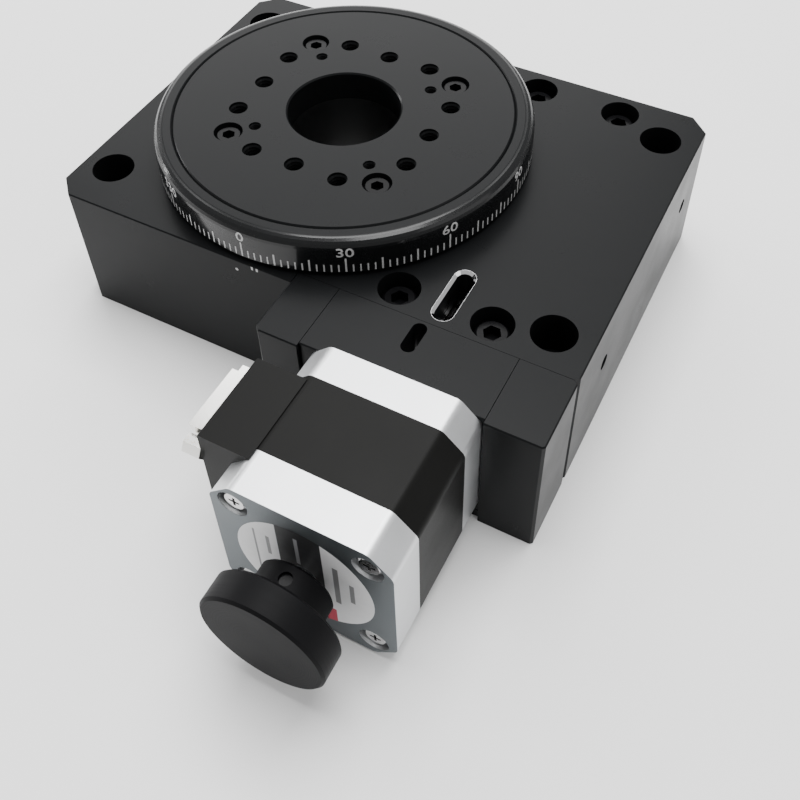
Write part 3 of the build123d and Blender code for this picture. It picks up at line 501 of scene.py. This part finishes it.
FINISHES = {
    "anodised_black": Finish("anodised_black", BLACK, 0.0, 0.36, 0.05, 0.3, 0.003, specular=0.07),
    "ring_black": Finish(
        "ring_black", BLACK, 0.0, 0.34, 0.05, 0.3, 0.003, coat=0.45, specular=0.07
    ),
    "motor_cap": Finish("motor_cap", (0.64, 0.65, 0.66), 1.0, 0.44, 0.06, 0.5, 0.01),
    # painted shade: a dark grey for the motor cap's rear face, standing in for the shade on it; the
    # cap is the same metal as motor_cap
    "painted_shade_grey": Finish("painted_shade_grey", (0.125, 0.14, 0.148), 1.0, 0.48, 0.06, 0.5, 0.01),
    "motor_black": Finish(
        "motor_black", (0.006, 0.006, 0.0057), 0.0, 0.42, 0.05, 0.4, 0.006, specular=0.06
    ),
    "knob_black": Finish(
        "knob_black",
        (0.005, 0.005, 0.0055),
        0.0,
        0.5,
        0.04,
        0.3,
        0.003,
        Lay.ROUND_WORM,
        specular=0.05,
    ),
    "screw_black": Finish(
        "screw_black", (0.004, 0.004, 0.0045), 0.0, 0.3, 0.05, 0.2, 0.003, specular=0.08
    ),
    "screw_steel": Finish("screw_steel", (0.6, 0.6, 0.6), 1.0, 0.25, 0.05, 0.2, 0.002),
    "bearing_steel": Finish("bearing_steel", (0.6, 0.6, 0.61), 1.0, 0.15, 0.04, 0.2, 0.001),
    "machined_steel": Finish(
        "machined_steel", (0.5, 0.5, 0.51), 1.0, 0.3, 0.05, 0.2, 0.003, Lay.ROUND_TABLE
    ),
    "worm_steel": Finish(
        "worm_steel", (0.5, 0.5, 0.51), 1.0, 0.22, 0.05, 0.2, 0.002, Lay.ROUND_WORM
    ),
    "rotor_steel": Finish("rotor_steel", (0.2, 0.2, 0.21), 1.0, 0.5),
    "wheel_bronze": Finish(
        "wheel_bronze", (0.62, 0.38, 0.16), 1.0, 0.3, 0.05, 0.2, 0.003, Lay.ROUND_TABLE
    ),
    "coupling_aluminium": Finish(
        "coupling_aluminium", (0.75, 0.75, 0.76), 1.0, 0.25, 0.05, 0.2, 0.003, Lay.ROUND_WORM
    ),
    "bare_aluminium": Finish("bare_aluminium", (0.88, 0.88, 0.89), 1.0, 0.16, 0.05, 0.2, 0.003),
    "connector_nickel": Finish("connector_nickel", (0.85, 0.84, 0.81), 1.0, 0.25, 0.06, 0.5, 0.004),
    "connector_plastic": Finish("connector_plastic", (0.02, 0.02, 0.022), 0.0, 0.45),
    "sensor_plastic": Finish("sensor_plastic", (0.02, 0.1, 0.04), 0.0, 0.4),
    "mark_white": Finish("mark_white", (0.5, 0.5, 0.5), 0.0, 0.6, 0.05, 0.1, 0.002),
    "contact_gold": Finish("contact_gold", (0.8, 0.55, 0.2), 1.0, 0.2),
}
REGIONS = {
    "base_block": (Region.SLOT_BEVEL, "bare_aluminium"),
    "table_hub": (Region.BORE_WALL, "anodised_black"),
    "scale_ring": (Region.RING_EDGE, "ring_black"),
    # the cap's rear face is given the darker grey above as painted shade
    "motor_rear_cap": (Region.REAR_FACE, "painted_shade_grey"),
}


class Paintbox:
    """Hands out materials. A plain finish is made once; a node with two finishes gets its own."""

    def __init__(self) -> None:
        self._made: dict[str, bpy.types.Material] = {}

    def get(self, name: str) -> bpy.types.Material:
        """Return the material of a finish.

        Args:
            name: key of FINISHES.

        Returns:
            The material.
        """
        if name not in self._made:
            self._made[name] = FINISHES[name].material()
        return self._made[name]

    def for_node(self, node: str, name: str) -> bpy.types.Material:
        """Return the material of a CAD node, with its second finish where it has one.

        Args:
            node: the CAD node's name.
            name: key of FINISHES.

        Returns:
            The material.
        """
        if node not in REGIONS:
            return self.get(name)
        region, other = REGIONS[node]
        return FINISHES[name].material(region, FINISHES[other])


# -------------------------------------------------------------------------- mesh


def mesh_object(
    name: str, points: np.ndarray, faces: np.ndarray, material: bpy.types.Material
) -> bpy.types.Object:
    """Make an object from quads or triangles.

    Args:
        name: the object's name.
        points: N by 3 array of places in metres.
        faces: M by 3 or M by 4 array of point numbers.
        material: the material.

    Returns:
        The object, linked to the scene.
    """
    mesh = bpy.data.meshes.new(name)
    mesh.from_pydata(points.tolist(), [], faces.tolist())
    mesh.materials.append(material)
    mesh.update()
    made = bpy.data.objects.new(name, mesh)
    bpy.context.scene.collection.objects.link(made)
    return made


# ------------------------------------------------------------------ sub-assemblies


@dataclass
class Frame:
    """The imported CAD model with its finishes.

    Attributes:
        nodes: the CAD nodes by name.
        slots: the material slot of each node.
        paint: the finishes.
    """

    nodes: dict[str, bpy.types.Object]
    slots: dict[str, str]
    paint: Paintbox

    def dress(self) -> None:
        """Give every CAD node its finish."""
        for name, node in self.nodes.items():
            material = self.paint.for_node(name, self.slots[name])
            for slot in node.material_slots:
                slot.material = material
        LOG.info("dressed %d nodes", len(self.nodes))


RING_RADIUS_MM = 50.0
RING_ROUND_START_MM = 47.9
RING_ROUND_MM = 2.6
PAINT_LIFT_MM = 0.02
# marks stop at this share of the rounding, where its curve has almost turned flat
RING_ROUND_REACH = 0.98


def ring_surface(angle: np.ndarray, height_mm: np.ndarray) -> np.ndarray:
    """Return places just outside the scale ring.

    The radius is the ring's radius up to the height where its rounding starts. Above that it
    follows a quarter circle: the ring's radius less the rounding, plus the root of the rounding
    squared less the rise squared.

    Args:
        angle: angle round the table in radians.
        height_mm: height above the base's underside.

    Returns:
        N by 3 places in metres.
    """
    rise = np.clip(height_mm - RING_ROUND_START_MM, 0.0, RING_ROUND_MM * RING_ROUND_REACH)
    radius = RING_RADIUS_MM - RING_ROUND_MM + np.sqrt(RING_ROUND_MM**2 - rise**2) + PAINT_LIFT_MM
    return np.stack((radius * np.cos(angle), radius * np.sin(angle), height_mm), axis=-1) * MM


# a digit's height as a share of the font's size, the numerals' thickening and their smoothness
DIGIT_SHARE = 0.7
DIGIT_THICKEN_MM = 0.04
DIGIT_RESOLUTION = 3


@dataclass
class ScaleMarks:
    """White graduations and numerals on the ring's side.

    Attributes:
        paint: the mark's material.
        step: degrees between marks.
        long_step: degrees between longer marks.
        label_step: degrees between numerals.
        foot_mm: height of the marks' feet.
        heights_mm: tops of the short, longer and numbered marks.
        half_widths_mm: half width of the short and of the longer marks.
        digit_mm: height of the numerals.
        digit_foot_mm: height of the numerals' feet.
        digit_stretch: how much wider than usual the numerals are.
        cut_mm: distance between the cuts across a numeral.
        zero_degrees: where 0 lies.
    """

    paint: bpy.types.Material
    step: int = 2
    long_step: int = 10
    label_step: int = 30
    foot_mm: float = 40.9
    heights_mm: tuple[float, float, float] = (43.3, 44.6, 45.4)
    half_widths_mm: tuple[float, float] = (0.18, 0.22)
    digit_mm: float = 2.7
    digit_foot_mm: float = 45.95
    digit_stretch: float = 1.18
    cut_mm: float = 0.45
    zero_degrees: float = -90.0

    def ticks(self) -> bpy.types.Object:
        """Build every graduation as one quad of a single mesh.

        Each quad has its edges at the mark's angle less and plus the half width divided by the
        radius, and its foot and top at the mark's two heights.

        Returns:
            The marks.
        """
        values = np.arange(0, 360, self.step)
        is_long = values % self.long_step == 0
        is_label = values % self.label_step == 0
        short, longer, numbered = self.heights_mm
        top = np.where(is_label, numbered, np.where(is_long, longer, short))
        half = np.where(is_long, self.half_widths_mm[1], self.half_widths_mm[0]) / RING_RADIUS_MM
        centre = np.radians(values + self.zero_degrees)
        angle = np.stack((centre - half, centre + half, centre + half, centre - half), axis=1)
        foot = np.full_like(top, self.foot_mm)
        height = np.stack((foot, foot, top, top), axis=1)
        points = ring_surface(angle.ravel(), height.ravel())
        faces = np.arange(len(points)).reshape(-1, 4)
        return mesh_object("scale_ticks", points, faces, self.paint)

    def numeral(self, value: int) -> bpy.types.Object:
        """Build one number, wrapped round the ring.

        The flat outline is cut at even heights so that it can follow the ring's rounding. Its X
        becomes an angle, X divided by the ring's radius, and its Y becomes height.

        Args:
            value: the number.

        Returns:
            The numeral.
        """
        curve = bpy.data.curves.new(f"numeral_{value}", "FONT")
        curve.body = str(value)
        curve.align_x = "CENTER"
        curve.size = self.digit_mm / DIGIT_SHARE
        curve.offset = DIGIT_THICKEN_MM
        curve.resolution_u = DIGIT_RESOLUTION
        text = bpy.data.objects.new(f"numeral_text_{value}", curve)
        bpy.context.scene.collection.objects.link(text)
        bpy.context.view_layer.update()
        flat = bpy.data.meshes.new_from_object(text)
        bpy.data.objects.remove(text)
        cutter = bmesh.new()
        cutter.from_mesh(flat)
        for height in np.arange(self.cut_mm, self.digit_mm, self.cut_mm):
            geometry = cutter.verts[:] + cutter.edges[:] + cutter.faces[:]
            place = (0, height, 0)
            bmesh.ops.bisect_plane(cutter, geom=geometry, plane_co=place, plane_no=(0, 1, 0))
        cutter.to_mesh(flat)
        cutter.free()
        flat_points = np.zeros(len(flat.vertices) * 3)
        flat.vertices.foreach_get("co", flat_points)
        flat_points = flat_points.reshape(-1, 3)
        middle = (flat_points[:, 0].min() + flat_points[:, 0].max()) / 2
        across = (flat_points[:, 0] - middle) * self.digit_stretch
        angle = math.radians(value + self.zero_degrees) + across / RING_RADIUS_MM
        points = ring_surface(angle, self.digit_foot_mm + flat_points[:, 1])
        flat.vertices.foreach_set("co", points.ravel())
        flat.materials.clear()
        flat.materials.append(self.paint)
        flat.update()
        made = bpy.data.objects.new(f"scale_numeral_{value}", flat)
        bpy.context.scene.collection.objects.link(made)
        return made

    def build(self) -> None:
        """Build the marks and the numerals, and let them turn with the table."""
        marks = [self.ticks()]
        marks += [self.numeral(value) for value in range(0, 360, self.label_step)]
        for mark in marks:
            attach(mark, "table")
        LOG.info("made %d scale pieces", len(marks))


@dataclass
class Threads:
    """Cut threads in the table's holes.

    Attributes:
        metal: the thread's material.
        radius_mm: radius of the hole's wall.
        depth_mm: how far the crests stand in from the wall.
        pitch_mm: distance between crests.
        turns: crests in each hole.
        top_mm: height of the table.
        segments: points round each hole.
    """

    metal: bpy.types.Material
    radius_mm: float = 2.48
    depth_mm: float = 0.34
    pitch_mm: float = 1.0
    turns: int = 6
    top_mm: float = 50.2
    segments: int = 20

    def build(self, name: str, places_mm: Sequence[tuple[float, float]]) -> bpy.types.Object:
        """Build one mesh with a threaded wall in each hole.

        Row i of a wall lies half a pitch below row i - 1, and rows are by turns at the wall and at
        the crest. Round the hole each row falls by one pitch, so that the crests run as a helix.

        Args:
            name: the object's name.
            places_mm: the holes' plan places.

        Returns:
            The threads.
        """
        rows = 2 * self.turns + 1
        around = np.linspace(0.0, 2 * np.pi, self.segments + 1)
        row = np.arange(rows)
        radius = self.radius_mm - self.depth_mm * (row % 2)
        fall = self.pitch_mm * around / (2 * np.pi)
        x = radius[:, None] * np.cos(around)[None, :]
        y = radius[:, None] * np.sin(around)[None, :]
        z = self.top_mm - self.pitch_mm / 2 * row[:, None] - fall[None, :]
        wall = np.stack((x, y, z), axis=-1).reshape(-1, 3)
        offsets = np.array([(px, py, 0.0) for px, py in places_mm])
        points = (wall[None, :, :] + offsets[:, None, :]).reshape(-1, 3) * MM
        ring = self.segments + 1
        first = (np.arange(rows - 1)[:, None] * ring + np.arange(self.segments)).ravel()
        quad = np.stack((first, first + ring, first + ring + 1, first + 1), axis=1)
        starts = np.arange(len(places_mm)) * len(wall)
        faces = (quad[None, :, :] + starts[:, None, None]).reshape(-1, 4)
        return mesh_object(name, points, faces, self.metal)


@dataclass
class RearLabel:
    """Round plain sticker on the motor's rear face, silver with a dark band.

    Attributes:
        radius_mm: its radius.
        hole_mm: radius of the hole round the shaft.
        face_y_mm: where it lies along Y.
        band_mm: X range of the dark band.
        dark_bars_mm: X range and Z range of each dark bar on the silver.
        grey_bar_mm: X range and Z range of the grey bar on the band.
        red_mark_mm: X range and Z range of the red mark.
        dark_bar_ink: how dense the dark bars' ink is.
        grey_bar_ink: how dense the grey bar's ink is.
        foil: darkest and lightest silver.
        ink: darkest and lightest black.
        grey: the grey bar's colour.
        red: the red mark's colour.
        cloud_scale: how fast the foil's tone varies, per millimetre.
        roughness: of the clearest foil, what its tone adds, and what the band adds.
        wave_mm: height of the foil's waves.
        metallic: how metallic the foil is.
        specular: strength of the dielectric reflection.
        rings: rings of faces.
        segments: faces round it.
    """

    radius_mm: float = 16.4
    hole_mm: float = 2.8
    face_y_mm: float = -106.03
    band_mm: tuple[float, float] = (44.2, 54.8)
    dark_bars_mm: tuple[Box, ...] = (
        (38.2, 38.8, 14.0, 31.5),
        (41.3, 42.3, 23.6, 30.8),
        (57.0, 58.4, 16.2, 31.0),
        (60.7, 61.9, 19.4, 27.0),
    )
    grey_bar_mm: Box = (48.4, 49.4, 25.4, 35.4)
    red_mark_mm: Box = (54.4, 56.9, 6.2, 12.4)
    dark_bar_ink: float = 0.75
    grey_bar_ink: float = 0.6
    foil: tuple[Paint, Paint] = ((0.72, 0.72, 0.73, 1.0), (0.82, 0.82, 0.82, 1.0))
    ink: tuple[Paint, Paint] = ((0.008, 0.008, 0.009, 1.0), (0.014, 0.014, 0.016, 1.0))
    grey: Paint = (0.5, 0.5, 0.52, 1.0)
    red: Paint = (0.45, 0.02, 0.05, 1.0)
    cloud_scale: float = 0.35
    roughness: tuple[float, float, float] = (0.32, 0.12, 0.1)
    wave_mm: float = 0.02
    metallic: float = 0.15
    specular: float = 0.4
    rings: int = 3
    segments: int = 64

    def material(self) -> bpy.types.Material:
        """Return foil with a dark printed band, plain bars and a red mark.

        Their edges are softened over a tenth of a millimetre.

        Returns:
            The material.
        """
        graph = Graph("label_foil")
        place = graph.place()
        x, _, z = graph.split(place)

        def box(area: Box) -> Value:
            return x.within(area[0], area[1]) * z.within(area[2], area[3])

        band = x.within(*self.band_mm)
        ink_mask = band
        for area in self.dark_bars_mm:
            ink_mask = ink_mask + box(area) * self.dark_bar_ink
        cloud = graph.noise(place, self.cloud_scale, CLOUD_DETAIL)
        foil = graph.blend(cloud, *self.foil)
        ink = graph.blend(cloud, *self.ink)
        colour = graph.blend(ink_mask, foil, ink)
        colour = graph.blend(box(self.grey_bar_mm) * self.grey_bar_ink, colour, self.grey)
        colour = graph.blend(box(self.red_mark_mm), colour, self.red)
        clear, tone_adds, band_adds = self.roughness
        varying = {
            "Base Color": colour,
            "Roughness": cloud * tone_adds + clear + band * band_adds,
            "Normal": graph.bump(cloud, self.wave_mm),
        }
        constants = {"Metallic": self.metallic, "Specular IOR Level": self.specular}
        return graph.surface(constants, varying)

    def build(self) -> bpy.types.Object:
        """Build the sticker as rings of quads between the hole and the rim.

        Returns:
            The sticker.
        """
        radius = np.linspace(self.hole_mm, self.radius_mm, self.rings + 1)
        around = np.linspace(0.0, 2 * np.pi, self.segments, endpoint=False)
        x = WORM_AXIS_MM[0] + radius[:, None] * np.cos(around)
        z = WORM_AXIS_MM[1] + radius[:, None] * np.sin(around)
        y = np.full_like(x, self.face_y_mm)
        points = np.stack((x, y, z), axis=-1).reshape(-1, 3) * MM
        ring, step = np.meshgrid(np.arange(self.rings), np.arange(self.segments), indexing="ij")
        a = (ring * self.segments + step).ravel()
        b = (ring * self.segments + (step + 1) % self.segments).ravel()
        faces = np.stack((a, a + self.segments, b + self.segments, b), axis=1)
        made = mesh_object("rear_label", points, faces[:, ::-1], self.material())
        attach(made, "base")
        return made


@dataclass
class IndexMarks:
    """Small white reference marks on the base's front face, under the ring.

    Attributes:
        paint: the mark's material.
        face_y_mm: where the face lies.
        bars_mm: X, foot, top and width of each bar.
        dot_mm: X, height and radius of the dot.
        dot_sides: corners of the dot.
    """

    paint: bpy.types.Material
    face_y_mm: float = -51.02
    bars_mm: tuple[Box, ...] = (
        (3.0, 38.2, 39.25, 0.55),
        (4.4, 38.2, 39.25, 0.55),
    )
    dot_mm: tuple[float, float, float] = (-1.7, 36.3, 0.45)
    dot_sides: int = 10

    def build(self) -> None:
        """Build the bars as quads and the dot as a fan of triangles."""
        bars = np.array(self.bars_mm)
        half = bars[:, 3] / 2
        left, right = bars[:, 0] - half, bars[:, 0] + half
        x = np.stack((left, right, right, left), axis=1)
        z = np.stack((bars[:, 1], bars[:, 1], bars[:, 2], bars[:, 2]), axis=1)
        points = np.stack((x, np.full_like(x, self.face_y_mm), z), axis=-1).reshape(-1, 3) * MM
        faces = np.arange(len(points)).reshape(-1, 4)
        made = [mesh_object("index_bars", points, faces, self.paint)]
        sides = self.dot_sides
        turn = np.linspace(0.0, 2 * np.pi, sides, endpoint=False)
        cx, cz, radius = self.dot_mm
        rim_x, rim_z = cx + radius * np.cos(turn), cz + radius * np.sin(turn)
        rim = np.stack((rim_x, np.full(sides, self.face_y_mm), rim_z), axis=1)
        points = np.vstack(([[cx, self.face_y_mm, cz]], rim)) * MM
        step = np.arange(sides)
        faces = np.stack((np.zeros(sides, int), step + 1, (step + 1) % sides + 1), axis=1)
        made.append(mesh_object("index_dot", points, faces, self.paint))
        for mark in made:
            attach(mark, "base")


GRID_MM = 12.5
SMALL_HOLE_MM = 16.9


@dataclass
class TableDetails:
    """Threads of the table's holes."""

    paint: "Paintbox"

    def build(self) -> None:
        """Build the large and the small threads and let them turn with the table."""
        grid = [(2 * GRID_MM * sx, GRID_MM * sy) for sx in (-1, 1) for sy in (-1, 0, 1)]
        grid += [(GRID_MM * sx, 2 * GRID_MM * sy) for sx in (-1, 0, 1) for sy in (-1, 1)]
        small = [(SMALL_HOLE_MM * sx, SMALL_HOLE_MM * sy) for sx in (-1, 1) for sy in (-1, 1)]
        metal = self.paint.get("anodised_black")
        made = [
            Threads(metal).build("table_threads", grid),
            Threads(
                metal, radius_mm=1.58, depth_mm=0.22, pitch_mm=0.5, turns=10
            ).build("table_small_threads", small),
        ]
        for thread in made:
            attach(thread, "table")


@dataclass(frozen=True)
class CameraPlan:
    """The photograph's camera.

    It was found from the motor's square face, the table's hole grid and the base's corners.
    """

    place_mm: tuple[float, float, float] = (119.79, -186.88, 225.03)
    right: tuple[float, float, float] = (0.8854, 0.4646, -0.0164)
    down: tuple[float, float, float] = (0.3239, -0.6419, -0.6950)
    forward: tuple[float, float, float] = (-0.3334, 0.6100, -0.7188)
    focal_pixels: float = 1063.1
    centre_pixels: tuple[float, float] = (406.58, 250.17)
    frame_pixels: float = 800.0
    sensor_mm: float = 36.0
    nearest: float = 0.01
    farthest: float = 20.0

    def build(self) -> bpy.types.Object:
        """Create the camera and make it the scene's.

        Returns:
            The camera object.
        """
        data = bpy.data.cameras.new("camera")
        data.sensor_width = self.sensor_mm
        data.lens = self.focal_pixels * self.sensor_mm / self.frame_pixels
        half = self.frame_pixels / 2
        data.shift_x = (half - self.centre_pixels[0]) / self.frame_pixels
        data.shift_y = (self.centre_pixels[1] - half) / self.frame_pixels
        data.clip_start = self.nearest
        data.clip_end = self.farthest
        camera = bpy.data.objects.new("camera", data)
        axes = (Vector(self.right), -Vector(self.down), -Vector(self.forward))
        turn = Matrix(axes).transposed()
        camera.matrix_world = Matrix.Translation(Vector(self.place_mm) * MM) @ turn.to_4x4()
        bpy.context.scene.collection.objects.link(camera)
        bpy.context.scene.camera = camera
        return camera


@dataclass(frozen=True)
class Softbox:
    """A large soft area light.

    Attributes:
        name: its name.
        place: where it stands.
        size: its width and height.
        power: its power in watts.
        aim: the point that it faces.
    """

    name: str
    place: tuple[float, float, float]
    size: tuple[float, float]
    power: float
    aim: tuple[float, float, float] = (0.015, -0.02, 0.03)

    def build(self) -> None:
        """Create the light."""
        data = bpy.data.lights.new(self.name, "AREA")
        data.shape = "RECTANGLE"
        data.size, data.size_y = self.size
        data.energy = self.power
        lamp = bpy.data.objects.new(self.name, data)
        lamp.location = self.place
        way = Vector(self.aim) - Vector(self.place)
        lamp.rotation_euler = way.to_track_quat("-Z", "Y").to_euler()
        bpy.context.scene.collection.objects.link(lamp)


@dataclass
class Studio:
    """Pale floor, soft lights and an even pale sky.

    Attributes:
        floor_half: half the floor's side.
        floor_drop: how far the floor lies below the part, so that their faces don't meet.
        floor_tones: darkest and lightest tone of the floor.
        tone_scale: how fast the tone varies, per millimetre.
        floor_roughness: roughness of the floor.
        floor_specular: strength of the floor's reflection.
        sky: brightness of the sky.
        boxes: the lights.
    """

    floor_half: float = 3.0
    floor_drop: float = 0.0001
    floor_tones: tuple[Paint, Paint] = ((0.86, 0.86, 0.86, 1.0), (0.9, 0.9, 0.9, 1.0))
    tone_scale: float = 0.01
    floor_roughness: float = 0.9
    floor_specular: float = 0.1
    sky: float = 0.5
    boxes: tuple[Softbox, ...] = (
        Softbox("key", (-0.8, 1.25, 1.05), (1.4, 1.4), 26.0),
        Softbox("top", (0.0, 0.3, 1.6), (1.2, 1.2), 50.0),
        Softbox("fill", (1.1, 0.1, 0.9), (0.9, 0.9), 3.0),
        Softbox("strip", (-1.3, 0.05, 0.3), (0.5, 0.14), 9.0),
    )

    def build(self) -> None:
        """Create the floor, the lights and the sky."""
        graph = Graph("floor_paper")
        place = graph.place()
        tone = graph.noise(place, self.tone_scale)
        colour = graph.blend(tone, *self.floor_tones)
        constants = {"Roughness": self.floor_roughness, "Specular IOR Level": self.floor_specular}
        paper = graph.surface(constants, {"Base Color": colour})
        h = self.floor_half
        points = np.array([(-h, -h, 0.0), (h, -h, 0.0), (h, h, 0.0), (-h, h, 0.0)])
        points -= (0.0, 0.0, self.floor_drop)
        floor = mesh_object("floor", points, np.array([(0, 1, 2, 3)]), paper)
        for box in self.boxes:
            box.build()
        world = bpy.data.worlds.new("sky")
        world.use_nodes = True
        background = world.node_tree.nodes["Background"].inputs
        background["Color"].default_value = (1.0, 1.0, 1.0, 1.0)
        background["Strength"].default_value = self.sky
        bpy.context.scene.world = world


def main() -> None:
    """Build the looks in order: frame, finishes, details, camera and studio."""
    logging.basicConfig(level=logging.INFO, format="%(name)s: %(message)s")
    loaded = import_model()
    record = loaded["record"]
    slots = {entry["node"]: entry["material_slot"] for entry in record["subparts"]}
    paint = Paintbox()
    Frame(loaded["nodes"], slots, paint).dress()
    ScaleMarks(paint.get("mark_white")).build()
    IndexMarks(paint.get("mark_white")).build()
    TableDetails(paint).build()
    RearLabel().build()
    CameraPlan().build()
    Studio().build()


if __name__ == "__main__":
    main()
